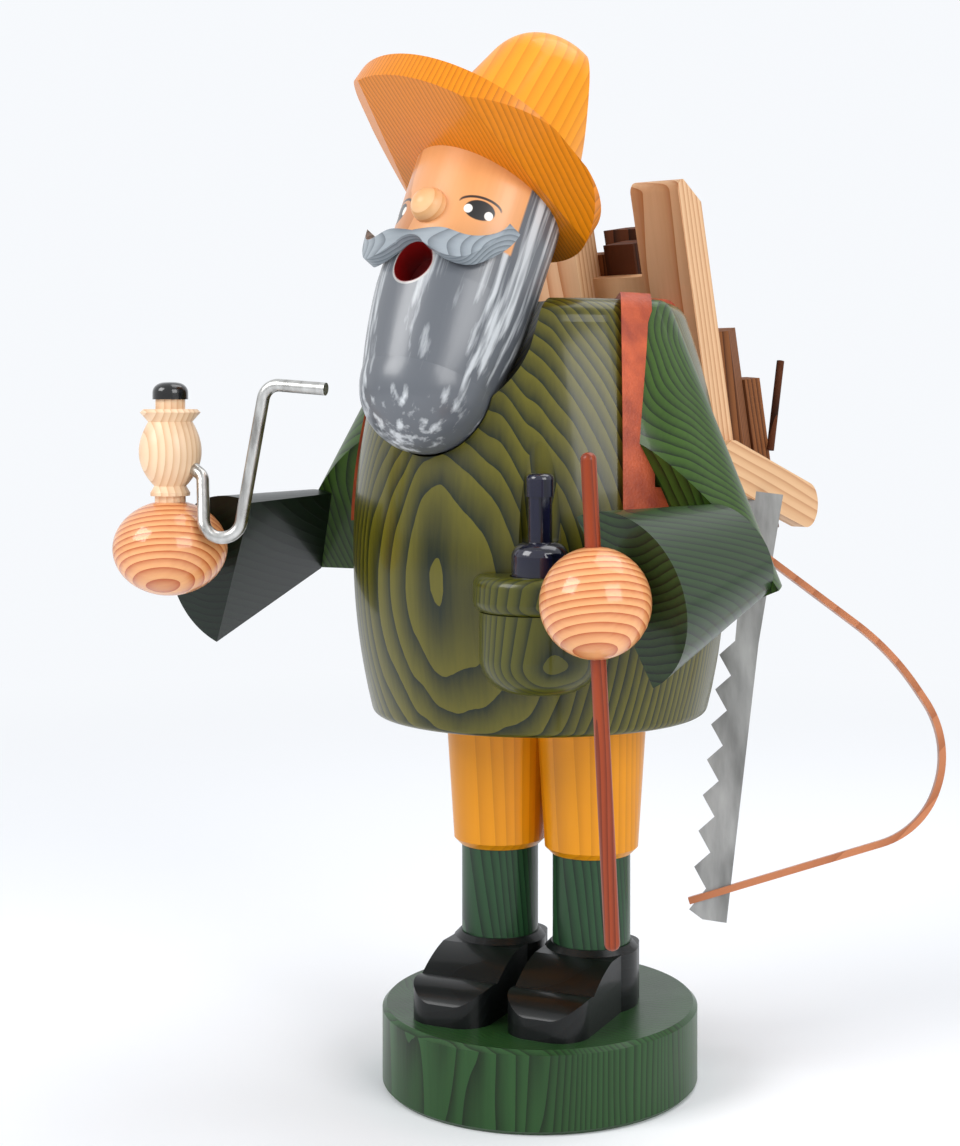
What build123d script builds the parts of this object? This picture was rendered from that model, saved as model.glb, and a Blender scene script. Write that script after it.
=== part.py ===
from build123d import *
from math import atan2, cos, degrees, radians, sin, sqrt
import os

os.makedirs("parts", exist_ok=True)

# A turned and carved wooden incense smoker: a wood carrier on a round base.
# Millimetres, +Z up, origin at the centre of the base's underside. The figure
# faces -Y, and its left hand is on +X.

# Sizes shared by several pieces
overrun = 20.0
fit_gap = 0.3
dowel_radius = 2.5
small_dowel_radius = 1.6

# Base
base_radius = 30.0
base_height = 15.0
base_edge = 0.8

# Legs and shoes, in the frame that is turned by the stance
stance_turn_degrees = 12.0
leg_offset = 9.6
leg_back = 2.5
shoe_length = 35.0
shoe_width = 15.6
shoe_heel = 9.6
shoe_toe_height = 6.2
shoe_instep_height = 10.6
shoe_collar_radius = 8.9
shoe_collar_height = 11.6
shoe_edge = 1.2
stocking_radius = 7.4
stocking_shown = 16.8
stocking_tenon = 6.0
trouser_cuff_radius = 8.9
trouser_top_radius = 10.6
trouser_length = 27.6
trouser_edge = 1.2

# Hip plug and the tray on it
plug_radius = 25.0
plug_height = 8.0
plug_recess = 1.0
tray_radius = 11.0
tray_wall = 0.6
tray_rim_height = 2.6
tray_seat_depth = 0.8

# Coat
coat_bottom_radius = 31.6
coat_widest_radius = 35.4
coat_widest_height = 37.0
coat_shoulder_radius = 28.4
coat_shoulder_height = 73.0
coat_height = 77.5
coat_top_edge = 4.5
coat_bottom_edge = 1.8
chamber_radius = 21.0
chamber_straight_height = 28.0
chamber_top_radius = 8.0
chamber_height = 47.0
smoke_hole_length = 40.0
smoke_hole_radius = 3.0
crest_gap = 2.3

# Head and beard: one turned piece, leaning back, with its beard forwards
lean_degrees = 27.0
head_y = -17.7
head_z = 163.5
head_turn_degrees = 2.5
head_radius = 14.6
cheek_radius = 14.3
beard_end_radius = 11.9
cheek_drop = 20.0
beard_drop = 36.0
nose_radius = 3.3
nose_drop = 7.5
mouth_drop = 18.6
mouth_radius = 3.9
mouth_depth = 6.0
head_dowel_drop = 30.0
recess_drop = 24.0
beard_gap = 0.4
head_dowel_length = 18.0
moustache_drop = 13.2
moustache_proud = 2.3
moustache_thickness = 2.6
moustache_bend_radius = 24.0
moustache_half_width = 15.8
moustache_height = 6.6

# Hat: a disc with two oblique side cuts, and a tapered crown
hat_x = 0.0
hat_y = -19.4
hat_z = 174.5
hat_lean_degrees = 35.7
hat_tip_degrees = 10.4
brim_radius = 25.6
brim_thickness = 5.0
brim_flat_half = 17.4
brim_flat_spread_degrees = 13.0
crown_radius = 15.4
crown_back = 5.4
crown_height = 29.5
crown_middle_radius = 12.9
crown_round = 9.0
crown_facet_degrees = 28.0
crown_facet_reach = 16.5

# Arms: half cones, mitred at the elbow
cuff_clear = 7.6
cuff_x = coat_widest_radius + cuff_clear
cuff_y = -38.8
cuff_z = 96.6
cuff_radius = 15.0
elbow_radius = 9.1
forearm_length = 31.0
forearm_swing_degrees = 7.8
forearm_rise_degrees = 10.8
forearm_roll_degrees = 23.4
mitre_out_share = 0.21
mitre_back_share = 0.88
mitre_up_share = 0.43
upper_arm_top_in = 6.9
upper_arm_low_clear = 21.6
upper_arm_top_out = coat_widest_radius - upper_arm_top_in
upper_arm_low_out = coat_widest_radius + upper_arm_low_clear
upper_arm_top_half = 8.4
upper_arm_low_half = 10.4
upper_arm_depth = 12.0
upper_arm_low_z = 95.0
upper_arm_y = -1.2
upper_arm_low_y = -9.0
shoulder_edge = 3.0
arm_dowel_z = 132.0
arm_dowel_length = 12.0

# Hands and what they hold
left_hand_radius = 8.85
right_hand_radius = 10.4
right_hand_height = 17.5
hand_dowel_length = 14.0
stick_radius = 1.25
stick_top_z = 121.0
stick_length = 78.0
stick_tilt_degrees = 2.8
stick_side_degrees = 36.0
left_hand_clear = 2.6
left_hand_x = cuff_x + left_hand_clear
left_hand_y = -48.0
left_hand_z = 97.4
right_hand_clear = 4.0
right_hand_x = -cuff_x - right_hand_clear
right_hand_y = -51.0
right_hand_z = 102.0
pipe_foot_radius = 2.8
pipe_foot_rise = 6.5
pipe_ring_radius = 3.6
pipe_ring_rise = 10.2
pipe_neck_radius = 2.9
pipe_neck_rise = 11.4
pipe_belly_radius = 5.5
pipe_belly_rise = 16.0
pipe_waist_radius = 4.0
pipe_waist_rise = 23.2
pipe_lip_radius = 5.5
pipe_lip_rise = 24.9
pipe_rim_radius = 2.7
pipe_step = 0.6
pipe_lip_height = 2.4
pipe_peg_radius = 1.5
pipe_peg_length = 4.0
cap_radius = 3.25
cap_height = 3.2
stem_radius = 1.15
stem_start = (3.0, -0.6, 15.8)
stem_points = (
    (6.5, -3.0, 13.3),
    (7.7, -8.6, 3.9),
    (13.4, -8.2, -0.1),
    (19.1, -10.5, 30.0),
    (30.2, -14.0, 29.1),
)
stem_radii = (2.4, 3.4, 3.6, 3.0)

# Pocket and bottle on the coat's left front
pocket_turn_degrees = 36.0
pocket_radius = 10.5
pocket_rim_radius = 11.6
pocket_sunk = 1.0
pocket_out = coat_widest_radius - pocket_sunk
pocket_bottom_z = 78.7
pocket_rim_z = 92.7
pocket_top_z = 99.2
pocket_depth = 6.0
pocket_rim_proud = 1.2
bottle_radius = 4.9
bottle_foot_z = 84.0
bottle_shoulder_z = 105.0
bottle_neck_radius = 2.1
bottle_top_z = 116.7
bottle_cap_height = 4.0
bottle_round = 2.4
bottle_proud = 3.6
bottle_out = coat_widest_radius + bottle_proud
bottle_gap = 0.3
flute_height = 24.0

# Straps
strap_width = 5.7
strap_thickness = 1.2
strap_turn_degrees = 36.0
strap_out = 17.3
strap_back_x = 14.0
strap_end_z = 106.0
strap_back_drop = 14.0
side_strap_z = 111.0
side_strap_width = 5.7

# Carrier, in a frame that leans with its posts
carrier_lean_degrees = 14.9
carrier_sunk = 2.4
carrier_y = coat_widest_radius - carrier_sunk
carrier_z = 120.0
post_width = 11.0
post_depth = 8.0
post_in = 7.7
post_up = 53.4
post_down = 12.0
post_bevel = 5.5
slat_thickness = 3.3
slat_height = 9.5
slat_reach = 42.0
slat_drop_degrees = 17.0
slat_sunk = 4.4
slat_y = coat_widest_radius - slat_sunk
slat_z = 117.8
cross_slat_height = 6.0
cross_slat_thickness = 3.0
cross_slat_up = 31.0
rung_radius = 2.2

# Firewood, along the posts
load_depth = 20.0

# Twig
twig_radius = 0.8

# Saw
saw_x = 22.0
saw_clear = 9.6
saw_top_y = coat_widest_radius + saw_clear
saw_top_z = 110.5
saw_lean_degrees = 13.4
saw_turn_degrees = 31.5
blade_length = 85.1
blade_width = 7.5
blade_top_shift = 1.5
blade_thickness = 0.9
tooth_depth = 2.8
tooth_count = 7
tooth_pitch = 6.95
teeth_start = 30.6
bow_strip = 3.0
bow_thickness = 1.3
bow_out = (1.5, 30.0, 43.4, 39.5, -4.0)
bow_down_shares = (0.141, 0.3349, 0.5229, 0.7344, 0.9636)
bow_radii = (50.0, 19.0, 17.0)

# Shares of a piece's own size
crown_middle_share = 0.5
crown_dome_share = 0.72
crown_dome_rise_share = 0.72
crown_facet_turn_degrees = 40.0
beard_bulge_share = 0.62
stick_round_share = 0.9
cap_side_share = 0.35
cap_bend_share = 0.75
cap_rise_share = 0.85
pocket_round_share = 0.6
rim_round_share = 0.3
cap_round_share = 0.5
post_round_share = 0.35
twig_x_share = 0.92
twig_foot_share = 0.84
twig_top_share = 1.3
twig_low_share = 0.15
twig_high_share = 0.17
rung_share = 0.93
tooth_peak_share = 0.45
toe_rise_share = 0.62
toe_arc_share = 0.08
toe_flat_share = 0.22
toe_flat_rise_share = 1.08
instep_share = 0.345
instep_rise_share = 1.48
shoe_corner_share = 0.36
shoulder_slope_share = 0.3
moustache_top_shares = ((0, -0.1), (0.2, -0.02), (0.4, 0.02), (0.65, -0.08), (0.85, 0.05), (1, 0.55))
moustache_low_shares = (
    (1, 0.55),
    (0.93, -0.02),
    (0.82, -0.42),
    (0.68, -0.72),
    (0.52, -0.76),
    (0.36, -0.66),
    (0.2, -0.46),
    (0, -0.34),
)


def lathe(outline):
    """Turn an outline of radius and height round the Z axis."""
    return revolve(make_face(Plane.XZ * outline), Axis.Z)


def save(name, shape):
    """Write one named piece."""
    export_step(shape, f"parts/{name}.step")


# Heights that follow from the sizes
trouser_bottom_z = base_height + shoe_collar_height + stocking_shown
plug_bottom_z = trouser_bottom_z + trouser_length
coat_bottom_z = plug_bottom_z - plug_recess
coat_top_z = coat_bottom_z + coat_height
seat_z = plug_bottom_z + plug_height
stance = Rot(0, 0, stance_turn_degrees)


def make_base():
    """The turned foot block."""
    block = Pos(0, 0, base_height / 2) * Cylinder(base_radius, base_height)
    return chamfer(block.edges().filter_by(GeomType.CIRCLE), base_edge)


def leg_centre(side):
    """The axis of one leg, on the base's top."""
    return stance * Pos(side * leg_offset, leg_back, base_height)


def make_stocking(side):
    """A dowel with a tenon in the shoe and one in the trouser leg."""
    length = stocking_shown + 2 * stocking_tenon
    start = shoe_collar_height - stocking_tenon
    return leg_centre(side) * Pos(0, 0, start + length / 2) * Cylinder(stocking_radius, length)


def make_shoe(side, stocking):
    """A carved block: flat sides, low toe and a collar round the stocking."""
    toe = shoe_heel - shoe_length
    step_y = -shoe_collar_radius
    side_view = Polyline((shoe_heel, 0), (toe, 0), (toe, shoe_toe_height * toe_rise_share))
    side_view += ThreePointArc(
        (toe, shoe_toe_height * toe_rise_share),
        (toe + shoe_length * toe_arc_share, shoe_toe_height),
        (toe + shoe_length * toe_flat_share, shoe_toe_height * toe_flat_rise_share),
    )
    side_view += ThreePointArc(
        (toe + shoe_length * toe_flat_share, shoe_toe_height * toe_flat_rise_share),
        (toe + shoe_length * instep_share, shoe_toe_height * instep_rise_share),
        (step_y, shoe_instep_height),
    )
    side_view += Polyline((step_y, shoe_instep_height), (shoe_heel, shoe_instep_height), (shoe_heel, 0))
    block = extrude(make_face(Plane.YZ * side_view), shoe_width / 2, both=True)
    sole = Pos(0, (shoe_heel + toe) / 2) * RectangleRounded(
        shoe_width, shoe_length, shoe_width * shoe_corner_share
    )
    block = block & extrude(sole, shoe_instep_height + overrun)
    collar = Pos(0, 0, shoe_collar_height / 2) * Cylinder(shoe_collar_radius, shoe_collar_height)
    collar = chamfer(collar.edges().group_by(Axis.Z)[-1], shoe_edge)
    return leg_centre(side) * (block + collar) - stocking


def make_trouser_leg(side, stocking, dowels):
    """A turned cone, flat where it meets the other leg."""
    outline = Polyline(
        (0, 0),
        (trouser_cuff_radius - trouser_edge, 0),
        (trouser_cuff_radius, trouser_edge),
        (trouser_top_radius, trouser_length),
        (0, trouser_length),
        (0, 0),
    )
    cone = Pos(0, 0, trouser_bottom_z - base_height) * lathe(outline)
    middle = Pos(-side * (leg_offset + trouser_top_radius), 0, trouser_bottom_z) * Box(
        2 * trouser_top_radius, 2 * base_radius, 2 * trouser_length
    )
    return leg_centre(side) * (cone - middle) - stocking - dowels


leg_dowels = Compound(
    children=[
        leg_centre(side) * Pos(0, 0, plug_bottom_z - base_height) * Cylinder(dowel_radius, plug_height)
        for side in (-1, 1)
    ]
)
stockings = {side: make_stocking(side) for side in (-1, 1)}
names = {-1: "right", 1: "left"}

save("base_disc", make_base())
save("leg_dowels", leg_dowels)
for side, name in names.items():
    save(f"stocking_{name}", stockings[side])
    save(f"shoe_{name}", make_shoe(side, stockings[side]))
    save(f"trouser_leg_{name}", make_trouser_leg(side, stockings[side], leg_dowels))


# Hip plug with a shallow seat for the tray
hip_plug = Pos(0, 0, plug_bottom_z + plug_height / 2) * Cylinder(plug_radius, plug_height)
tray_seat = Pos(0, 0, seat_z) * Cylinder(tray_radius + fit_gap, 2 * tray_seat_depth)
save("hip_plug", hip_plug - tray_seat - leg_dowels)

tray_floor_z = seat_z - tray_seat_depth
tray_outline = Polyline(
    (0, tray_floor_z),
    (tray_radius, tray_floor_z),
    (tray_radius, tray_floor_z + tray_rim_height),
    (tray_radius - tray_wall, tray_floor_z + tray_rim_height),
    (tray_radius - tray_wall, tray_floor_z + tray_wall),
    (0, tray_floor_z + tray_wall),
    (0, tray_floor_z),
)
save("incense_tray", lathe(tray_outline))


def coat_outer(grow):
    """The coat's turned outside, made larger all over by a distance."""
    low = (coat_bottom_radius + grow, coat_bottom_z)
    widest = (coat_widest_radius + grow, coat_bottom_z + coat_widest_height)
    high = (coat_shoulder_radius + grow, coat_bottom_z + coat_shoulder_height)
    top = coat_top_z + grow
    rim = coat_shoulder_radius - (coat_height - coat_shoulder_height) * shoulder_slope_share
    outline = Line((0, coat_bottom_z), low) + ThreePointArc(low, widest, high)
    outline += Polyline(high, (rim + grow, top), (0, top), (0, coat_bottom_z))
    body = lathe(outline)
    body = fillet(body.edges().group_by(Axis.Z)[-1], coat_top_edge)
    return fillet(body.edges().group_by(Axis.Z)[0], coat_bottom_edge)


coat_solid = coat_outer(0)
chamber = lathe(
    Polyline(
        (0, seat_z),
        (chamber_radius, seat_z),
        (chamber_radius, seat_z + chamber_straight_height),
        (chamber_top_radius, seat_z + chamber_height),
        (0, seat_z + chamber_height),
        (0, seat_z),
    )
)
plug_bore = Pos(0, 0, seat_z - overrun / 2) * Cylinder(plug_radius + fit_gap, overrun)

# The head's own frame: Z up along the head, X to the figure's left, and -Y
# the way the face looks
lean = radians(lean_degrees)
head_frame = Plane(
    origin=(0, head_y, head_z), x_dir=(1, 0, 0), z_dir=(0, sin(lean), cos(lean))
) * Rot(0, 0, head_turn_degrees)

recess_radius = head_radius + crest_gap
recess = head_frame * (
    Pos(0, 0, (overrun - recess_drop) / 2) * Cylinder(recess_radius, recess_drop + overrun)
    + Pos(0, 0, -recess_drop) * Sphere(recess_radius)
)

smoke_frame = head_frame * Pos(0, 0, -mouth_drop) * Rot(-90, 0, 0)
smoke_hole = (
    smoke_frame * Pos(0, 0, smoke_hole_length / 2) * Cylinder(smoke_hole_radius, smoke_hole_length)
)
mouth_hole = smoke_frame * Pos(0, 0, -head_radius) * Cylinder(mouth_radius, 2 * mouth_depth)

head_dowel = (
    head_frame
    * Pos(0, recess_radius, -head_dowel_drop)
    * Rot(90, 0, 0)
    * Cylinder(dowel_radius, head_dowel_length)
)

# The hat's frame: its origin on the brim's underside, Z through the crown
hat_lean = radians(hat_lean_degrees)
hat_tip = radians(hat_tip_degrees)
hat_axis = Vector(sin(hat_tip), sin(hat_lean) * cos(hat_tip), cos(hat_lean) * cos(hat_tip))
hat_frame = Plane(
    origin=Vector(hat_x, hat_y, hat_z) - hat_axis * brim_thickness,
    x_dir=(cos(hat_tip), 0, -sin(hat_tip)),
    z_dir=hat_axis,
)


def brim_wedge(side):
    """The wood sawn from one side of the brim's underside."""
    rise = degrees(atan2(brim_thickness, brim_radius - brim_flat_half))
    cutter = Pos(overrun, 0, -overrun) * Box(2 * overrun, 4 * overrun, 2 * overrun)
    cutter = Rot(0, -rise, 0) * cutter
    if side < 0:
        cutter = Rot(0, 0, 180) * cutter
    turn = -side * brim_flat_spread_degrees
    return Pos(side * brim_flat_half, 0, 0) * Rot(0, 0, turn) * cutter


brim = Pos(0, 0, brim_thickness / 2) * Cylinder(brim_radius, brim_thickness)
brim = brim - brim_wedge(1) - brim_wedge(-1)
hat_brim = hat_frame * brim

crown_side_z = crown_height - crown_round
crown_slope = (crown_radius - crown_middle_radius) / (crown_height * crown_middle_share)
crown_side_radius = crown_radius - crown_slope * crown_side_z
crown_outline = Polyline(
    (0, crown_height), (0, 0), (crown_radius, 0), (crown_side_radius, crown_side_z)
)
crown_outline += Spline(
    (crown_side_radius, crown_side_z),
    (crown_side_radius * crown_dome_share, crown_side_z + crown_round * crown_dome_rise_share),
    (0, crown_height),
    tangents=((-crown_slope, 1), (-1, 0)),
)
facet = Pos(overrun + crown_facet_reach, 0, crown_side_z) * Box(
    2 * overrun, 4 * overrun, 6 * overrun
)
facet = Rot(0, 0, crown_facet_turn_degrees) * Rot(0, -crown_facet_degrees, 0) * facet
crown = lathe(crown_outline)
hat_crown = hat_frame * Pos(0, crown_back, brim_thickness) * (crown - facet)

save("hat_brim", hat_brim)
save("hat_crown", hat_crown)

head_top = brim_thickness * 4


def head_shape(grow):
    """The turned head and beard, made larger all over by a distance."""
    outline = Polyline(
        (0, -beard_drop - beard_end_radius - grow),
        (0, head_top),
        (head_radius + grow, head_top),
        (head_radius + grow, 0),
        (cheek_radius + grow, -cheek_drop),
    )
    outline += ThreePointArc(
        (cheek_radius + grow, -cheek_drop),
        (
            beard_end_radius + (cheek_radius - beard_end_radius) * beard_bulge_share + grow,
            -(cheek_drop + beard_drop) / 2,
        ),
        (beard_end_radius + grow, -beard_drop),
    )
    outline += ThreePointArc(
        (beard_end_radius + grow, -beard_drop),
        (
            (beard_end_radius + grow) * sqrt(1 / 2),
            -beard_drop - (beard_end_radius + grow) * sqrt(1 / 2),
        ),
        (0, -beard_drop - beard_end_radius - grow),
    )
    return head_frame * lathe(outline)


head_block = head_shape(0)
above_brim = hat_frame * Pos(0, 0, 2 * overrun) * Box(8 * overrun, 8 * overrun, 4 * overrun)
nose = head_frame * Pos(0, -head_radius, -nose_drop) * Sphere(nose_radius)

moustache_top = [
    (moustache_half_width * out, moustache_height * up) for out, up in moustache_top_shares
]
moustache_low = [
    (moustache_half_width * out, moustache_height * up) for out, up in moustache_low_shares
]
moustache_outline = Spline(*moustache_top) + Spline(*moustache_low)
moustache_outline += Line(moustache_low[-1], moustache_top[0])
moustache_half = make_face(Plane.XZ * moustache_outline)
moustache_face = moustache_half + mirror(moustache_half, Plane.YZ)
moustache_block = extrude(moustache_face, overrun, dir=(0, -1, 0))
moustache_ring = Pos(0, moustache_bend_radius - head_radius - moustache_proud, 0) * (
    Cylinder(moustache_bend_radius, 2 * overrun)
    - Cylinder(moustache_bend_radius - moustache_thickness, 2 * overrun)
)
moustache = (head_frame * Pos(0, 0, -moustache_drop) * moustache_block) & (
    head_frame * moustache_ring
)

head_beard = head_block - above_brim - mouth_hole - smoke_hole - head_dowel - nose
moustache = moustache - head_block - nose - mouth_hole
save("head_beard", head_beard)
save("head_dowel", head_dowel)
save("nose", nose)
save("moustache", moustache)

# Arms. One side is made, and the other is its mirror image
swing = radians(forearm_swing_degrees)
rise = radians(forearm_rise_degrees)
roll = radians(forearm_roll_degrees)
forearm_back = Vector(sin(swing) * cos(rise), cos(swing) * cos(rise), sin(rise))
level_out = Vector(cos(swing), -sin(swing), 0)
arm_up = Vector(-sin(swing) * sin(rise), -cos(swing) * sin(rise), cos(rise))
flat_normal = level_out * cos(roll) + arm_up * sin(roll)
forearm_frame = Plane(origin=(cuff_x, cuff_y, cuff_z), x_dir=flat_normal, z_dir=forearm_back)
mitre_normal = Vector(mitre_out_share, mitre_back_share, mitre_up_share)
cuff_centre = Vector(cuff_x, cuff_y, cuff_z)
mitre_frame = Plane(origin=cuff_centre + forearm_back * forearm_length, z_dir=mitre_normal)
behind_mitre = mitre_frame * Pos(0, 0, 2 * overrun) * Box(8 * overrun, 8 * overrun, 4 * overrun)

arm_taper = (cuff_radius - elbow_radius) / forearm_length
flat_down = forearm_back.cross(flat_normal)
underside = Plane(
    origin=cuff_centre + flat_down * cuff_radius, z_dir=flat_down + forearm_back * arm_taper
)
below_sleeve = underside * Pos(0, 0, 2 * overrun) * Box(8 * overrun, 8 * overrun, 4 * overrun)
long_forearm = forearm_length + elbow_radius
long_radius = cuff_radius - arm_taper * long_forearm
forearm_cone = Pos(0, 0, long_forearm / 2) * Cone(cuff_radius, long_radius, long_forearm)
forearm_half = forearm_cone & (Pos(2 * overrun, 0, 0) * Box(4 * overrun, 4 * overrun, 8 * overrun))
forearm_plain = (forearm_frame * forearm_half) - behind_mitre

top_oval = Pos(upper_arm_top_out - upper_arm_depth, upper_arm_y, coat_top_z) * Ellipse(
    upper_arm_depth, upper_arm_top_half
)
low_oval = Pos(upper_arm_low_out - upper_arm_depth, upper_arm_low_y, upper_arm_low_z) * Ellipse(
    upper_arm_depth, upper_arm_low_half
)
upper_arm_bar = loft([low_oval, top_oval])
upper_arm_bar = fillet(upper_arm_bar.edges().group_by(Axis.Z)[-1], shoulder_edge)
upper_arm_plain = (upper_arm_bar & behind_mitre) - coat_solid - below_sleeve

arm_dowel_x = coat_widest_radius
arm_dowel = (
    Pos(arm_dowel_x, upper_arm_y, arm_dowel_z) * Rot(0, 90, 0) * Cylinder(dowel_radius, arm_dowel_length)
)
arm_dowel = arm_dowel & (Pos(-fit_gap, 0, 0) * upper_arm_bar)

# Straps hug the coat: over the shoulder, and round the side below the arm
strap_skin = coat_outer(strap_thickness) - coat_solid
strap_height = coat_top_z - strap_end_z + overrun
strap_frame = Rot(0, 0, strap_turn_degrees) * Pos(strap_out, 0, 0)
strap_bend_y = (strap_out - strap_back_x * cos(radians(strap_turn_degrees))) / sin(
    radians(strap_turn_degrees)
)
strap_middle_z = strap_end_z + strap_height / 2
strap_front_slab = (
    strap_frame * Pos(0, 0, strap_middle_z) * Box(strap_width, 4 * coat_widest_radius, strap_height)
)
strap_front_slab = strap_front_slab - (
    Pos(0, strap_bend_y, strap_middle_z)
    * Box(
        4 * coat_widest_radius,
        4 * coat_widest_radius,
        2 * strap_height,
        align=(Align.CENTER, Align.MIN, Align.CENTER),
    )
)
strap_back_slab = Pos(strap_back_x, strap_bend_y, coat_top_z - strap_back_drop) * Box(
    strap_width,
    2 * coat_widest_radius,
    strap_height,
    align=(Align.CENTER, Align.MIN, Align.MIN),
)
front_strap = strap_skin & (strap_front_slab + strap_back_slab)
side_ring = strap_skin & (
    Pos(0, 0, side_strap_z) * Box(4 * coat_widest_radius, 4 * coat_widest_radius, side_strap_width)
)
beyond_strap = (
    strap_frame
    * Pos(0, 0, side_strap_z)
    * Box(4 * overrun, 8 * overrun, overrun, align=(Align.MIN, Align.CENTER, Align.CENTER))
)
beyond_post = Pos(post_in, 0, side_strap_z) * Box(
    4 * overrun, 8 * overrun, overrun, align=(Align.MIN, Align.CENTER, Align.CENTER)
)
side_strap = side_ring & beyond_strap & beyond_post


def arm_side(side, shape):
    """The left arm's shape, or its mirror image on the right."""
    return shape if side > 0 else mirror(shape, Plane.YZ)


# Hands: a ball on the left, a flattened bead on the right
left_frame = Pos(left_hand_x, left_hand_y, left_hand_z)
right_frame = Pos(right_hand_x, right_hand_y, right_hand_z)
picture_right = Vector(
    cos(radians(stick_side_degrees)), sin(radians(stick_side_degrees)), 0
)
stick_tilt = radians(stick_tilt_degrees)
stick_axis = Vector(0, 0, 1) * cos(stick_tilt) - picture_right * sin(stick_tilt)
stick_centre = Vector(left_hand_x, left_hand_y, left_hand_z) + stick_axis * (
    stick_top_z - left_hand_z - stick_length / 2
)
stick = Cylinder(stick_radius, stick_length)
stick = fillet(stick.edges().filter_by(GeomType.CIRCLE), stick_radius * stick_round_share)
stick = Plane(origin=stick_centre, z_dir=stick_axis) * stick

left_ball = left_frame * Sphere(left_hand_radius)
bead = Ellipse(right_hand_radius, right_hand_height / 2)
bead_half = bead & (Pos(right_hand_radius, 0) * Rectangle(2 * right_hand_radius, 2 * right_hand_height))
right_bead = right_frame * revolve(Plane.XZ * bead_half, Axis.Z)


def hand_dowel(side, hand_x, hand_y, hand_z):
    """A dowel from the hand's middle into the sleeve, along the forearm."""
    back = Vector(side * forearm_back.X, forearm_back.Y, forearm_back.Z)
    centre = Vector(hand_x, hand_y, hand_z) + back * (hand_dowel_length / 2 + stick_radius + fit_gap)
    return Plane(origin=centre, z_dir=back) * Cylinder(small_dowel_radius, hand_dowel_length)


left_hand_dowel = hand_dowel(1, left_hand_x, left_hand_y, left_hand_z)
right_hand_dowel = hand_dowel(-1, right_hand_x, right_hand_y, right_hand_z)

# Pipe, turned, standing in the right hand
pipe_foot_z = right_hand_z + pipe_foot_rise
pipe_ring_z = right_hand_z + pipe_ring_rise
pipe_neck_z = right_hand_z + pipe_neck_rise
pipe_belly_z = right_hand_z + pipe_belly_rise
pipe_waist_z = right_hand_z + pipe_waist_rise
pipe_lip_z = right_hand_z + pipe_lip_rise
bowl_points = [
    (pipe_foot_radius, pipe_foot_z),
    (pipe_foot_radius, pipe_ring_z - pipe_step),
    (pipe_ring_radius, pipe_ring_z - pipe_step),
    (pipe_ring_radius, pipe_ring_z),
    (pipe_neck_radius, pipe_neck_z),
]
bowl_outline = Polyline((0, pipe_lip_z + pipe_lip_height), (0, pipe_foot_z), *bowl_points)
bowl_outline += Spline(
    (pipe_neck_radius, pipe_neck_z),
    (pipe_belly_radius, pipe_belly_z),
    (pipe_waist_radius, pipe_waist_z),
)
bowl_outline += Polyline(
    (pipe_waist_radius, pipe_waist_z),
    (pipe_lip_radius, pipe_lip_z),
    (pipe_lip_radius - pipe_step, pipe_lip_z + pipe_step),
    (pipe_rim_radius, pipe_lip_z + pipe_step),
    (pipe_rim_radius, pipe_lip_z + pipe_lip_height),
    (0, pipe_lip_z + pipe_lip_height),
)
pipe_base = Pos(right_hand_x, right_hand_y, 0)
bowl_solid = pipe_base * lathe(bowl_outline)
cap_foot_z = pipe_lip_z + pipe_lip_height
cap_outline = Polyline(
    (0, cap_foot_z - pipe_peg_length),
    (pipe_peg_radius, cap_foot_z - pipe_peg_length),
    (pipe_peg_radius, cap_foot_z),
    (cap_radius, cap_foot_z),
    (cap_radius, cap_foot_z + cap_height * cap_side_share),
)
cap_outline += Spline(
    (cap_radius, cap_foot_z + cap_height * cap_side_share),
    (cap_radius * cap_bend_share, cap_foot_z + cap_height * cap_rise_share),
    (0, cap_foot_z + cap_height),
    tangents=((0, 1), (-1, 0)),
)
cap_outline += Line((0, cap_foot_z + cap_height), (0, cap_foot_z - pipe_peg_length))
pipe_cap = pipe_base * lathe(cap_outline)

stem_path = FilletPolyline(stem_start, *stem_points, radius=list(stem_radii))
stem_solid = sweep(
    Plane(origin=stem_path @ 0, z_dir=stem_path % 0) * Circle(stem_radius), path=stem_path
)
stem_solid = right_frame * Rot(0, 0, stick_side_degrees) * stem_solid
pipe_bowl = bowl_solid - pipe_cap - stem_solid

# Pocket: half of a turned cup on the coat, with a loose bottle in it
pocket_frame = Rot(0, 0, pocket_turn_degrees) * Pos(0, -pocket_out, 0)
pocket_round = pocket_radius * pocket_round_share
cup_outline = Line((0, pocket_bottom_z), (pocket_radius - pocket_round, pocket_bottom_z))
cup_outline += ThreePointArc(
    (pocket_radius - pocket_round, pocket_bottom_z),
    (pocket_radius - pocket_round * (1 - sqrt(1 / 2)), pocket_bottom_z + pocket_round * (1 - sqrt(1 / 2))),
    (pocket_radius, pocket_bottom_z + pocket_round),
)
cup_outline += Polyline(
    (pocket_radius, pocket_bottom_z + pocket_round),
    (pocket_radius, pocket_rim_z),
    (0, pocket_rim_z),
    (0, pocket_bottom_z),
)
rim_height = pocket_top_z - pocket_rim_z
cup_rim = Pos(0, 0, pocket_rim_z + rim_height / 2) * Cylinder(pocket_rim_radius, rim_height)
cup_rim = fillet(cup_rim.edges().filter_by(GeomType.CIRCLE), rim_height * rim_round_share)

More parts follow.
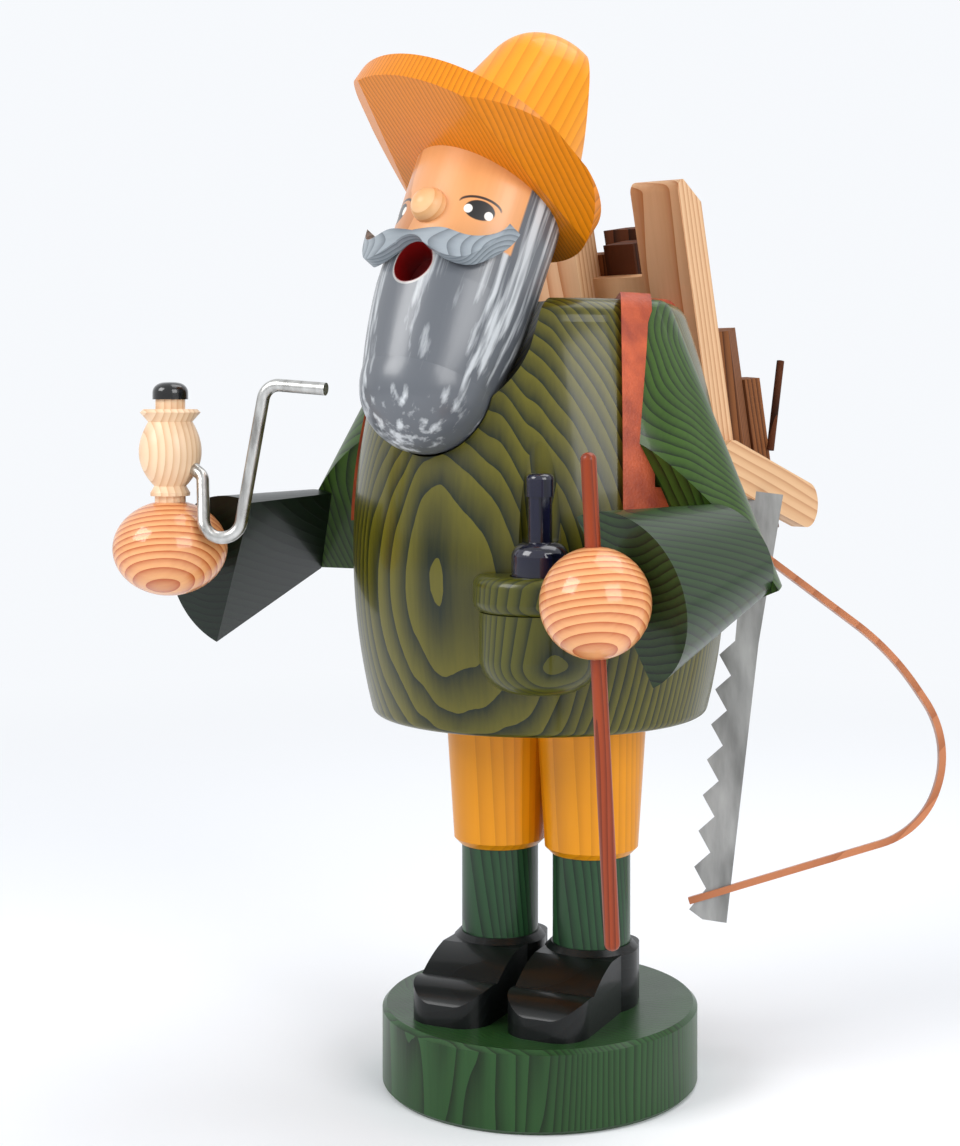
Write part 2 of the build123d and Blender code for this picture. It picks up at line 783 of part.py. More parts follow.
bottle_frame = Rot(0, 0, pocket_turn_degrees) * Pos(0, -bottle_out, 0)
flute_length = bottle_top_z + flute_height - bottle_foot_z
bottle_bore = (
    bottle_frame
    * Pos(0, 0, bottle_foot_z + flute_length / 2)
    * Cylinder(bottle_radius + bottle_gap, flute_length)
)
cap_bottom_z = bottle_top_z - bottle_cap_height
bottle_outline = Polyline(
    (0, cap_bottom_z),
    (0, bottle_foot_z),
    (bottle_radius, bottle_foot_z),
    (bottle_radius, bottle_shoulder_z - bottle_round),
)
bottle_outline += ThreePointArc(
    (bottle_radius, bottle_shoulder_z - bottle_round),
    (
        bottle_neck_radius + (bottle_radius - bottle_neck_radius) * sqrt(1 / 2),
        bottle_shoulder_z - bottle_round * (1 - sqrt(1 / 2)),
    ),
    (bottle_neck_radius, bottle_shoulder_z),
)
bottle_outline += Polyline(
    (bottle_neck_radius, bottle_shoulder_z), (bottle_neck_radius, cap_bottom_z), (0, cap_bottom_z)
)
bottle = bottle_frame * lathe(bottle_outline)
bottle_cap = Pos(0, 0, cap_bottom_z + bottle_cap_height / 2) * Cylinder(
    bottle_neck_radius + bottle_gap, bottle_cap_height
)
bottle_cap = fillet(bottle_cap.edges().group_by(Axis.Z)[-1], bottle_neck_radius * cap_round_share)
bottle_cap = bottle_frame * bottle_cap

pocket_pouch = (pocket_frame * lathe(cup_outline)) - coat_solid - bottle_bore
pocket_rim = (pocket_frame * cup_rim) - coat_solid - bottle_bore

# Carrier. Its frame lies on the front face of the posts: Z up along them, Y
# away from the coat
carrier_lean = radians(carrier_lean_degrees)
carrier_frame = Plane(
    origin=(0, carrier_y, carrier_z),
    x_dir=(1, 0, 0),
    z_dir=(0, -sin(carrier_lean), cos(carrier_lean)),
)
carrier_half = post_in + post_width
post_length = post_up + post_down


def make_post(side):
    """A flat post with a bevelled and rounded top."""
    post = Pos(side * (post_in + post_width / 2), post_depth / 2, post_up - post_length / 2) * Box(
        post_width, post_depth, post_length
    )
    post = chamfer(post.edges().group_by(Axis.Z)[-1].sort_by(Axis.Y)[-1], post_bevel)
    post = fillet(post.edges().group_by(Axis.Z)[-1].sort_by(Axis.Y)[0], post_bevel * post_round_share)
    return carrier_frame * post


def make_foot_slat(side):
    """A slat with round ends on the outside of a post, falling to the back."""
    drop = radians(slat_drop_degrees)
    middle = slat_reach / 2
    frame = Plane(
        origin=(
            side * (carrier_half + slat_thickness / 2),
            slat_y + middle * cos(drop),
            slat_z - middle * sin(drop),
        ),
        x_dir=(0, cos(drop), -sin(drop)),
        z_dir=(side, 0, 0),
    )
    return frame * extrude(SlotOverall(slat_reach, slat_height), slat_thickness / 2, both=True)


def make_rung(share):
    """A round rung between the foot slats, at a share of their length."""
    drop = radians(slat_drop_degrees)
    reach = slat_reach * share
    length = 2 * (carrier_half + slat_thickness)
    place = Pos(0, slat_y + reach * cos(drop), slat_z - reach * sin(drop))
    return place * Rot(0, 90, 0) * Cylinder(rung_radius, length)


def make_log(box_shares, outline_shares, top_tilt_degrees):
    """A split log along the posts, with a corner outline and a slanting top."""
    low_x, high_x, low_y, high_y, low_z, high_z = box_shares
    corners = [
        (
            carrier_half * (low_x + (high_x - low_x) * x),
            post_depth + load_depth * (low_y + (high_y - low_y) * y),
        )
        for x, y in outline_shares
    ]
    foot = post_up * low_z
    length = post_up * (high_z - low_z)
    log = Pos(0, 0, foot) * extrude(make_face(Polyline(*corners, close=True)), length)
    saw_cut = Pos(0, post_depth, foot + length) * Rot(top_tilt_degrees, 0, 0)
    saw_cut = saw_cut * Pos(0, 0, 2 * overrun) * Box(8 * overrun, 8 * overrun, 4 * overrun)
    return carrier_frame * (log - saw_cut)


# Each log: its box as shares of the carrier's half width, the load's depth
# and the posts' height, then its corners as shares of that box, and its cut
log_shares = {
    "log_split_right": (
        (-0.83, -0.32, 0.0, 0.50, -0.18, 0.72),
        ((0.05, 0), (1, 0), (1, 0.9), (0.55, 1), (0, 0.7)),
        -6.0,
    ),
    "log_bark": (
        (-0.32, 0.065, 0.0, 0.46, -0.14, 0.755),
        ((0, 0), (1, 0), (1, 0.8), (0.7, 1), (0, 0.95)),
        -4.0,
    ),
    "log_split_left": (
        (0.065, 0.98, 0.0, 0.62, -0.28, 0.40),
        ((0, 0), (0.9, 0), (1, 0.35), (0.82, 1), (0.3, 0.92), (0, 0.6)),
        -8.0,
    ),
    "log_rear": (
        (-0.65, 0.20, 0.50, 0.92, -0.20, 0.80),
        ((0, 0), (1, 0.05), (0.95, 0.7), (0.55, 1), (0.1, 0.75)),
        -5.0,
    ),
    "log_lower": (
        (0.38, 0.90, 0.62, 1.0, -0.47, 0.20),
        ((0.1, 0.05), (0.9, 0), (1, 0.6), (0.5, 1), (0, 0.7)),
        -10.0,
    ),
}
logs = {}
taken = None
for name, (box_shares, outline_shares, tilt) in log_shares.items():
    log = make_log(box_shares, outline_shares, tilt)
    logs[name] = log if taken is None else log - taken
    taken = log if taken is None else taken + log

twig_start = Vector(
    carrier_half * twig_x_share, post_depth + load_depth * twig_foot_share, -post_up * twig_low_share
)
twig_end = Vector(
    carrier_half * twig_x_share, post_depth + load_depth * twig_top_share, post_up * twig_high_share
)
twig_run = twig_end - twig_start
twig = Plane(origin=twig_start + twig_run / 2, z_dir=twig_run) * Cylinder(twig_radius, twig_run.length)
twig = (carrier_frame * twig) - taken

cross_slat = carrier_frame * Pos(
    0, post_depth - cross_slat_thickness / 2, cross_slat_up
) * Box(2 * post_in, cross_slat_thickness, cross_slat_height)

# Saw, hanging from a kerf in the left foot slat
saw_lean = radians(saw_lean_degrees)
saw_turn = radians(saw_turn_degrees)
blade_up = Vector(0, sin(saw_lean), cos(saw_lean))
bow_way = Vector(cos(saw_turn), sin(saw_turn), 0)
bow_way = (bow_way - blade_up * bow_way.dot(blade_up)).normalized()
saw_frame = Plane(
    origin=(saw_x, saw_top_y, saw_top_z), x_dir=bow_way, z_dir=bow_way.cross(blade_up)
)
half_blade = blade_width / 2
valley_x = tooth_depth - half_blade
teeth = [(valley_x, -teeth_start)]
for number in range(tooth_count):
    tooth_y = -teeth_start - number * tooth_pitch
    teeth.append((-half_blade, tooth_y - tooth_pitch * tooth_peak_share))
    teeth.append((valley_x, tooth_y - tooth_pitch))
blade_outline = Polyline(
    (half_blade + blade_top_shift, 0),
    (valley_x - blade_top_shift / 2, 0),
    *teeth,
    (-half_blade, -blade_length + blade_top_shift),
    (valley_x, -blade_length),
    (half_blade, -blade_length),
    (half_blade, -teeth_start),
    close=True,
)
blade_face = make_face(blade_outline)
blade_solid = saw_frame * extrude(blade_face, blade_thickness / 2, both=True)
bow_points = [
    (out, -blade_length * down) for out, down in zip(bow_out, bow_down_shares)
]
bow_path = FilletPolyline(*bow_points, radius=list(bow_radii))
bow_face = trace(bow_path, bow_thickness)
bow_solid = saw_frame * extrude(bow_face, bow_strip / 2, both=True)

foot_slats = {side: make_foot_slat(side) for side in (-1, 1)}
foot_rung = make_rung(rung_share)
side_straps = {side: arm_side(side, side_strap - front_strap) for side in (-1, 1)}
front_straps = {side: arm_side(side, front_strap) for side in (-1, 1)}
posts = {side: make_post(side) - coat_solid - side_straps[side] for side in (-1, 1)}
arm_dowels = Compound(children=[arm_dowel, mirror(arm_dowel, Plane.YZ)])
hand_dowels = Compound(children=[left_hand_dowel, right_hand_dowel])

coat = coat_solid - chamber - plug_bore - recess - head_shape(beard_gap)
coat = coat - smoke_hole - head_dowel - bottle_bore - arm_dowels
save("coat", coat)
save("arm_dowels", arm_dowels)
save("hand_dowels", hand_dowels)
for side, name in names.items():
    forearm = arm_side(side, forearm_plain) - left_ball - right_bead - hand_dowels
    upper_arm = arm_side(side, upper_arm_plain) - arm_dowels - side_straps[side]
    strap = front_straps[side] - arm_side(side, upper_arm_plain)
    slat = foot_slats[side] - coat_solid - side_straps[side] - foot_rung
    save(f"forearm_{name}", forearm)
    save(f"upper_arm_{name}", upper_arm)
    save(f"shoulder_strap_{name}", strap - posts[side])
    save(f"side_strap_{name}", side_straps[side])
    save(f"carrier_post_{name}", posts[side])
    save(f"foot_slat_{name}", slat - blade_solid if side > 0 else slat)

save("hand_left", left_ball - stick - hand_dowels)
save("hand_right", right_bead - bowl_solid - hand_dowels)
save("walking_stick", stick)
save("pipe_bowl", pipe_bowl)
save("pipe_cap", pipe_cap)
save("pipe_stem", stem_solid)
save("pocket_pouch", pocket_pouch)
save("pocket_rim", pocket_rim)
save("bottle", bottle)
save("bottle_cap", bottle_cap)
save("carrier_cross_slat", cross_slat)
save("foot_rung", foot_rung)
for name, log in logs.items():
    save(name, log)
save("twig", twig)
save("saw_blade", blade_solid)
save("saw_bow", bow_solid - blade_solid)
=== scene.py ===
from math import cos, radians, sin

import bpy
from mathutils import Euler, Matrix, Vector

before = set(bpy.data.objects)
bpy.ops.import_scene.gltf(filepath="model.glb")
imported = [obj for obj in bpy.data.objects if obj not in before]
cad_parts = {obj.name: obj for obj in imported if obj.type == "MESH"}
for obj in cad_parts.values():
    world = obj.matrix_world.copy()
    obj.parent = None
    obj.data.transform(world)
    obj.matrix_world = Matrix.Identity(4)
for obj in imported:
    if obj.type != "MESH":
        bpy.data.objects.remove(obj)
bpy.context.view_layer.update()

# Base: a turned foot block of close softwood, stained dark green and
# lacquered. Every wood below has the same growth rings, cut as that piece
# was cut from the plank, so they are one node group with its own values.


def stain(hex_colour):
    """A colour as a painter would name it, made linear for the shader."""
    values = [int(hex_colour[place : place + 2], 16) / 255 for place in (0, 2, 4)]
    linear = [v / 12.92 if v <= 0.04045 else ((v + 0.055) / 1.055) ** 2.4 for v in values]
    return (*linear, 1.0)


def make_growth_rings():
    """Rings round the pith, which is the Z axis of the incoming vector."""
    group = bpy.data.node_groups.new("growth_rings", "ShaderNodeTree")
    sockets = group.interface
    for name, kind in (
        ("Vector", "NodeSocketVector"),
        ("Ring Scale", "NodeSocketFloat"),
        ("Wobble", "NodeSocketFloat"),
        ("Late Share", "NodeSocketFloat"),
        ("Mottle", "NodeSocketFloat"),
        ("Early Wood", "NodeSocketColor"),
        ("Late Wood", "NodeSocketColor"),
    ):
        sockets.new_socket(name, in_out="INPUT", socket_type=kind)
    sockets.new_socket("Color", in_out="OUTPUT", socket_type="NodeSocketColor")
    sockets.new_socket("Height", in_out="OUTPUT", socket_type="NodeSocketFloat")
    new, link = group.nodes.new, group.links.new
    source, result = new("NodeGroupInput"), new("NodeGroupOutput")

    stretched = new("ShaderNodeMapping")
    stretched.inputs["Scale"].default_value = (1, 1, 0.16)
    link(source.outputs["Vector"], stretched.inputs["Vector"])
    drift = new("ShaderNodeTexNoise")
    drift.inputs["Scale"].default_value = 55
    drift.inputs["Detail"].default_value = 2
    link(stretched.outputs["Vector"], drift.inputs["Vector"])
    centred = new("ShaderNodeVectorMath")
    centred.operation = "SUBTRACT"
    centred.inputs[1].default_value = (0.5, 0.5, 0.5)
    link(drift.outputs["Color"], centred.inputs[0])
    pushed = new("ShaderNodeVectorMath")
    pushed.operation = "SCALE"
    link(centred.outputs["Vector"], pushed.inputs[0])
    link(source.outputs["Wobble"], pushed.inputs["Scale"])
    place = new("ShaderNodeVectorMath")
    link(source.outputs["Vector"], place.inputs[0])
    link(pushed.outputs["Vector"], place.inputs[1])

    rings = new("ShaderNodeTexWave")
    rings.wave_type = "RINGS"
    rings.rings_direction = "Z"
    rings.wave_profile = "SAW"
    link(place.outputs["Vector"], rings.inputs["Vector"])
    link(source.outputs["Ring Scale"], rings.inputs["Scale"])
    late = new("ShaderNodeMath")
    late.operation = "POWER"
    link(rings.outputs["Fac"], late.inputs[0])
    link(source.outputs["Late Share"], late.inputs[1])

    fibre_run = new("ShaderNodeMapping")
    fibre_run.inputs["Scale"].default_value = (1, 1, 0.05)
    link(source.outputs["Vector"], fibre_run.inputs["Vector"])
    fibre = new("ShaderNodeTexNoise")
    fibre.inputs["Scale"].default_value = 1400
    fibre.inputs["Detail"].default_value = 3
    link(fibre_run.outputs["Vector"], fibre.inputs["Vector"])
    fibre_part = new("ShaderNodeMath")
    fibre_part.operation = "MULTIPLY_ADD"
    fibre_part.inputs[1].default_value = 0.34
    fibre_part.inputs[2].default_value = -0.17
    link(fibre.outputs["Fac"], fibre_part.inputs[0])
    share = new("ShaderNodeMath")
    share.use_clamp = True
    link(late.outputs["Value"], share.inputs[0])
    link(fibre_part.outputs["Value"], share.inputs[1])
    wood = new("ShaderNodeMix")
    wood.data_type = "RGBA"
    link(share.outputs["Value"], wood.inputs["Factor"])
    link(source.outputs["Early Wood"], wood.inputs["A"])
    link(source.outputs["Late Wood"], wood.inputs["B"])

    patches = new("ShaderNodeTexNoise")
    patches.inputs["Scale"].default_value = 90
    patches.inputs["Detail"].default_value = 3
    link(stretched.outputs["Vector"], patches.inputs["Vector"])
    depth = new("ShaderNodeMath")
    depth.operation = "MULTIPLY"
    link(patches.outputs["Fac"], depth.inputs[0])
    link(source.outputs["Mottle"], depth.inputs[1])
    uneven = new("ShaderNodeMix")
    uneven.data_type = "RGBA"
    uneven.blend_type = "MULTIPLY"
    uneven.inputs["B"].default_value = (0.25, 0.27, 0.22, 1)
    link(depth.outputs["Value"], uneven.inputs["Factor"])
    link(wood.outputs["Result"], uneven.inputs["A"])
    link(uneven.outputs["Result"], result.inputs["Color"])
    link(share.outputs["Value"], result.inputs["Height"])
    return group


growth_rings = make_growth_rings()
ring_scale_at_1_mm = 314


def ringed_wood(
    name, early, late, ring_mm, pith, turn=(0, 0, 0), wobble=0.004, late_share=2.2,
    mottle=0.3, roughness=0.4, shine=0.2, lacquer=0.22, relief=0.00008,
):
    """A wood: its two stains, ring spacing, and where and how its pith lies."""
    material = bpy.data.materials.new(name)
    material.use_nodes = True
    new, link = material.node_tree.nodes.new, material.node_tree.links.new
    surface = material.node_tree.nodes["Principled BSDF"]
    where = new("ShaderNodeTexCoord")
    laid = new("ShaderNodeMapping")
    laid.vector_type = "TEXTURE"
    laid.inputs["Location"].default_value = pith
    laid.inputs["Rotation"].default_value = [radians(angle) for angle in turn]
    link(where.outputs["Object"], laid.inputs["Vector"])
    rings = new("ShaderNodeGroup")
    rings.node_tree = growth_rings
    rings.name = "rings"
    rings.inputs["Ring Scale"].default_value = ring_scale_at_1_mm / ring_mm
    rings.inputs["Wobble"].default_value = wobble
    rings.inputs["Late Share"].default_value = late_share
    rings.inputs["Mottle"].default_value = mottle
    rings.inputs["Early Wood"].default_value = stain(early)
    rings.inputs["Late Wood"].default_value = stain(late)
    link(laid.outputs["Vector"], rings.inputs["Vector"])
    link(rings.outputs["Color"], surface.inputs["Base Color"])
    raised = new("ShaderNodeBump")
    raised.inputs["Strength"].default_value = 0.6
    raised.inputs["Distance"].default_value = relief
    link(rings.outputs["Height"], raised.inputs["Height"])
    link(raised.outputs["Normal"], surface.inputs["Normal"])
    surface.inputs["Roughness"].default_value = roughness
    surface.inputs["Specular IOR Level"].default_value = shine
    surface.inputs["Coat Weight"].default_value = lacquer
    surface.inputs["Coat Roughness"].default_value = 0.12
    return material


def finish_node(material, *names):
    """Gives CAD nodes their finish."""
    for name in names:
        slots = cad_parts[name].data.materials
        slots.clear()
        slots.append(material)


base_wood = ringed_wood(
    "base_stain", "2f5a2c", "0f2609", 1.0, (0.01, 0.06, 0), mottle=0.9, wobble=0.009
)
finish_node(base_wood, "base_disc")

# Legs: shoes carved from blocks and lacquered black, stockings of green
# dowel, and trouser legs turned from pale wood and stained orange yellow.
shoe_black = ringed_wood(
    "shoe_lacquer", "080c0c", "030404", 1.6, (0, 0, 0.002), (0, 90, 0),
    roughness=0.42, lacquer=0.25, relief=0.00003,
)
finish_node(shoe_black, "shoe_left", "shoe_right")
for side, x in (("left", 0.018), ("right", -0.001)):
    stocking_wood = ringed_wood(
        f"stocking_stain_{side}", "264a2c", "0c1d12", 1.1, (x, 0.014, 0.03), (7, 4, 0)
    )
    trouser_wood = ringed_wood(
        f"trouser_stain_{side}", "e2920a", "cc8004", 1.5, (x, 0.03, 0.05), (5, 3, 0),
        mottle=0.08,
    )
    finish_node(stocking_wood, f"stocking_{side}")
    finish_node(trouser_wood, f"trouser_leg_{side}")

# Hip plug and dowels: plain beech without stain or lacquer. The plug is seen
# when the upper body is lifted, the dowels only when the figure is taken apart.
plain_wood = ringed_wood(
    "plain_wood", "d9b184", "b98b5c", 1.8, (0.03, 0.02, 0.07), roughness=0.6, lacquer=0.0
)
finish_node(plain_wood, "hip_plug", "leg_dowels", "arm_dowels", "hand_dowels", "head_dowel")

# Incense tray: a dish pressed from thin bright sheet, dulled by ash.
tray_metal = bpy.data.materials.new("tray_sheet")
tray_metal.use_nodes = True
tray_nodes = tray_metal.node_tree
tray_surface = tray_nodes.nodes["Principled BSDF"]
tray_surface.inputs["Metallic"].default_value = 1.0
tray_ash = tray_nodes.nodes.new("ShaderNodeTexNoise")
tray_ash.inputs["Scale"].default_value = 260
tray_where = tray_nodes.nodes.new("ShaderNodeTexCoord")
tray_nodes.links.new(tray_where.outputs["Object"], tray_ash.inputs["Vector"])
tray_tone = tray_nodes.nodes.new("ShaderNodeValToRGB")
tray_tone.color_ramp.elements[0].color = (0.42, 0.40, 0.37, 1)
tray_tone.color_ramp.elements[1].color = (0.80, 0.79, 0.77, 1)
tray_nodes.links.new(tray_ash.outputs["Fac"], tray_tone.inputs["Fac"])
tray_nodes.links.new(tray_tone.outputs["Color"], tray_surface.inputs["Base Color"])
tray_rough = tray_nodes.nodes.new("ShaderNodeMapRange")
tray_rough.inputs["To Min"].default_value = 0.55
tray_rough.inputs["To Max"].default_value = 0.25
tray_nodes.links.new(tray_ash.outputs["Fac"], tray_rough.inputs["Value"])
tray_nodes.links.new(tray_rough.outputs["Result"], tray_surface.inputs["Roughness"])
finish_node(tray_metal, "incense_tray")

# Coat: a hollow turned body of wide-ringed pine. Its swelling shape cuts the
# rings into tall ovals at the front. Olive stain under a clear lacquer.
coat_wood = ringed_wood(
    "coat_stain", "686214", "101c06", 1.05, (-0.008, 0.050, 0.094), (3.0, 0, 0),
    wobble=0.0042, late_share=1.25, mottle=0.55, roughness=0.36, lacquer=0.35,
)
finish_node(coat_wood, "coat")

# Arms: halves of turned cones, mitred at the elbow, in a purer green than the
# coat. The right forearm is the darkest. The grain runs along each sleeve.
for side, sign in (("left", 1), ("right", -1)):
    upper_wood = ringed_wood(
        f"upper_arm_stain_{side}", "3c5a1e", "0c1a08", 1.2,
        (sign * 0.030, 0.010, 0.12), (9, sign * 24, 0), mottle=0.5,
    )
    sleeve_wood = ringed_wood(
        f"forearm_stain_{side}", "2b4520" if side == "left" else "0f2014", "06100a", 1.3,
        (sign * 0.050, -0.020, 0.118), (80, 0, sign * -8), mottle=0.6,
    )
    finish_node(upper_wood, f"upper_arm_{side}")
    finish_node(sleeve_wood, f"forearm_{side}")

# Head and beard: one turned piece. The face is bare wood, the beard is slate
# gray paint with dry white brush strokes, and the eyes and brows are painted.
head_centre = Vector((0, -0.0177, 0.1635))
head_turn = Matrix.Rotation(radians(-27), 3, "X") @ Matrix.Rotation(radians(2.5), 3, "Z")
face_half_angle = radians(69.5)
face_low, mouth_low = 0.0128, 0.0186
mouth_paint_radius, mouth_rim_radius = 0.00402, 0.0044
side_edge, low_edge = 40.0, 2500.0
head_paint = bpy.data.materials.new("head_paint")
head_paint.use_nodes = True
head_nodes = head_paint.node_tree
head_surface = head_nodes.nodes["Principled BSDF"]


def add_math(tree, operation, first, second=None, third=None, clamp=False):
    """One step of arithmetic on sockets or plain values."""
    step = tree.nodes.new("ShaderNodeMath")
    step.operation = operation
    step.use_clamp = clamp
    for place, value in enumerate((first, second, third)):
        if isinstance(value, bpy.types.NodeSocket):
            tree.links.new(value, step.inputs[place])
        elif value is not None:
            step.inputs[place].default_value = value
    return step.outputs["Value"]


def layer_paint(tree, mask, under, colour):
    """One coat of paint over another, where its mask is 1."""
    coat = tree.nodes.new("ShaderNodeMix")
    coat.data_type = "RGBA"
    tree.links.new(mask, coat.inputs["Factor"])
    tree.links.new(under, coat.inputs["A"])
    if isinstance(colour, bpy.types.NodeSocket):
        tree.links.new(colour, coat.inputs["B"])
    else:
        coat.inputs["B"].default_value = colour
    return coat.outputs["Result"]


head_where = head_nodes.nodes.new("ShaderNodeTexCoord")
head_laid = head_nodes.nodes.new("ShaderNodeMapping")
head_laid.vector_type = "TEXTURE"
head_laid.inputs["Location"].default_value = head_centre
head_laid.inputs["Rotation"].default_value = head_turn.to_euler()
head_nodes.links.new(head_where.outputs["Object"], head_laid.inputs["Vector"])
head_split = head_nodes.nodes.new("ShaderNodeSeparateXYZ")
head_nodes.links.new(head_laid.outputs["Vector"], head_split.inputs["Vector"])
head_up = head_split.outputs["Z"]
head_front = add_math(head_nodes, "MULTIPLY", head_split.outputs["Y"], -1.0)
head_angle = add_math(head_nodes, "ARCTAN2", head_split.outputs["X"], head_front)
head_side = add_math(head_nodes, "ABSOLUTE", head_angle)


def painted_spot(angle, up, half_angle, half_up):
    """A soft-edged oval on both sides of the face, in degrees and metres."""
    across = add_math(head_nodes, "SUBTRACT", head_side, radians(angle))
    across = add_math(head_nodes, "DIVIDE", across, radians(half_angle))
    along = add_math(head_nodes, "SUBTRACT", head_up, up)
    along = add_math(head_nodes, "DIVIDE", along, half_up)
    across = add_math(head_nodes, "MULTIPLY", across, across)
    along = add_math(head_nodes, "MULTIPLY", along, along)
    reach = add_math(head_nodes, "ADD", across, along)
    return add_math(head_nodes, "MULTIPLY_ADD", reach, -6.0, 6.5, clamp=True)


head_face = head_nodes.nodes.new("ShaderNodeGroup")
head_face.node_tree = growth_rings
for socket, value in (
    ("Ring Scale", 220), ("Wobble", 0.004), ("Late Share", 3.0), ("Mottle", 0.05),
    ("Early Wood", stain("e6a368")), ("Late Wood", stain("cb8448")),
):
    head_face.inputs[socket].default_value = value
head_nodes.links.new(head_laid.outputs["Vector"], head_face.inputs["Vector"])
brush_run = head_nodes.nodes.new("ShaderNodeMapping")
brush_run.inputs["Scale"].default_value = (1, 1, 0.045)
head_nodes.links.new(head_laid.outputs["Vector"], brush_run.inputs["Vector"])
brush = head_nodes.nodes.new("ShaderNodeTexNoise")
brush.inputs["Scale"].default_value = 620
brush.inputs["Detail"].default_value = 4
head_nodes.links.new(brush_run.outputs["Vector"], brush.inputs["Vector"])
brush_where = head_nodes.nodes.new("ShaderNodeTexNoise")
brush_where.inputs["Scale"].default_value = 95
head_nodes.links.new(brush_run.outputs["Vector"], brush_where.inputs["Vector"])
brush_sum = add_math(head_nodes, "MULTIPLY", brush.outputs["Fac"], brush_where.outputs["Fac"])
brush_mask = add_math(head_nodes, "MULTIPLY_ADD", brush_sum, 9.0, -2.4, clamp=True)
beard_plain = head_nodes.nodes.new("ShaderNodeRGB")
beard_plain.outputs[0].default_value = stain("5c6066")
beard_tone = layer_paint(head_nodes, brush_mask, beard_plain.outputs[0], stain("c6cacd"))
skin_edge = add_math(
    head_nodes, "MULTIPLY_ADD", head_side, -side_edge, side_edge * face_half_angle, clamp=True
)
skin_low = add_math(
    head_nodes, "MULTIPLY_ADD", head_up, low_edge, low_edge * face_low, clamp=True
)
skin_mask = add_math(head_nodes, "MULTIPLY", skin_edge, skin_low)
painted = layer_paint(head_nodes, skin_mask, beard_tone, head_face.outputs["Color"])
eye_black = painted_spot(37.5, -0.0069, 11.0, 0.0019)
painted = layer_paint(head_nodes, eye_black, painted, stain("0b0908"))
for dot_angle, dot_up in ((29.2, -0.0071), (44.6, -0.0075)):
    dot = painted_spot(dot_angle, dot_up, 3.1, 0.00085)
    painted = layer_paint(head_nodes, dot, painted, stain("f2efe8"))
brow_high = painted_spot(37.0, -0.0058, 15.5, 0.0016)
brow_cut = painted_spot(37.0, -0.0064, 15.5, 0.0017)
brow = add_math(head_nodes, "SUBTRACT", brow_high, brow_cut, clamp=True)
painted = layer_paint(head_nodes, brow, painted, stain("2a1a10"))
mouth_side = add_math(head_nodes, "POWER", head_split.outputs["X"], 2.0)
mouth_up = add_math(head_nodes, "ADD", head_up, mouth_low)
mouth_up = add_math(head_nodes, "POWER", mouth_up, 2.0)
mouth_reach = add_math(head_nodes, "SQRT", add_math(head_nodes, "ADD", mouth_side, mouth_up))
mouth_in = add_math(head_nodes, "LESS_THAN", mouth_reach, mouth_paint_radius)
mouth_front = add_math(head_nodes, "GREATER_THAN", head_front, 0.0)
mouth_in = add_math(head_nodes, "MULTIPLY", mouth_in, mouth_front)
mouth_rim = add_math(head_nodes, "LESS_THAN", mouth_reach, mouth_rim_radius)
mouth_rim = add_math(head_nodes, "MULTIPLY", mouth_rim, mouth_front)
painted = layer_paint(head_nodes, mouth_rim, painted, stain("a9a6a2"))
painted = layer_paint(head_nodes, mouth_in, painted, stain("7a0a0a"))
head_nodes.links.new(painted, head_surface.inputs["Base Color"])
head_relief = head_nodes.nodes.new("ShaderNodeBump")
head_relief.inputs["Strength"].default_value = 0.5
head_relief.inputs["Distance"].default_value = 0.0001
head_nodes.links.new(brush.outputs["Fac"], head_relief.inputs["Height"])
head_nodes.links.new(head_relief.outputs["Normal"], head_surface.inputs["Normal"])
head_surface.inputs["Roughness"].default_value = 0.34
head_surface.inputs["Coat Weight"].default_value = 0.35
head_surface.inputs["Coat Roughness"].default_value = 0.2
finish_node(head_paint, "head_beard")

# Nose: a bare wooden ball, set in the face.
nose_wood = ringed_wood(
    "nose_wood", "efc08e", "dea46a", 1.4, (0, -0.02, 0.155), (0, 90, 0), mottle=0.0
)
finish_node(nose_wood, "nose")

# Moustache: thin carved wood bent round the lip, in lighter gray paint with
# strokes that run outwards from the middle.
moustache_paint = ringed_wood(
    "moustache_paint", "9da6ad", "6d757c", 0.9, (0, -0.03, 0.151), (0, 90, 0),
    mottle=0.15, roughness=0.4, lacquer=0.2,
)
finish_node(moustache_paint, "moustache")

# Hat: a disc with its sides sawn away and a turned crown, of straight pine in
# yellow-orange stain. The disc has the darker stain and the closer rings.
brim_wood = ringed_wood(
    "brim_stain", "ea8a0c", "bd6a04", 1.0, (0.30, -0.02, 0.17), (0, 8, 20),
    wobble=0.0015, mottle=0.12,
)
crown_wood = ringed_wood(
    "crown_stain", "f29c16", "dc8408", 2.0, (0.03, 0.03, 0.19), (-36, 10, 0),
    wobble=0.003, mottle=0.08,
)
finish_node(brim_wood, "hat_brim")
finish_node(crown_wood, "hat_crown")

# Hands: a turned ball and a flattened bead, in clear lacquered softwood with
# strong red-brown rings.
for side, centre, tip in (
    ("left", (0.048, -0.07, 0.06), 8), ("right", (-0.045, -0.075, 0.07), 5)
):
    hand_wood = ringed_wood(
        f"hand_wood_{side}", "f0ae74", "b9541f", 1.25, centre, (tip, 82, 30),
        wobble=0.004, late_share=1.8, mottle=0.08, lacquer=0.7,
    )
    finish_node(hand_wood, f"hand_{side}")

# Stick: a thin dowel in red-brown stain.
stick_wood = ringed_wood(
    "stick_stain", "9c3f1a", "6a250b", 0.8, (0.046, -0.05, 0.08), (3, 0, 0), mottle=0.35
)
finish_node(stick_wood, "walking_stick")

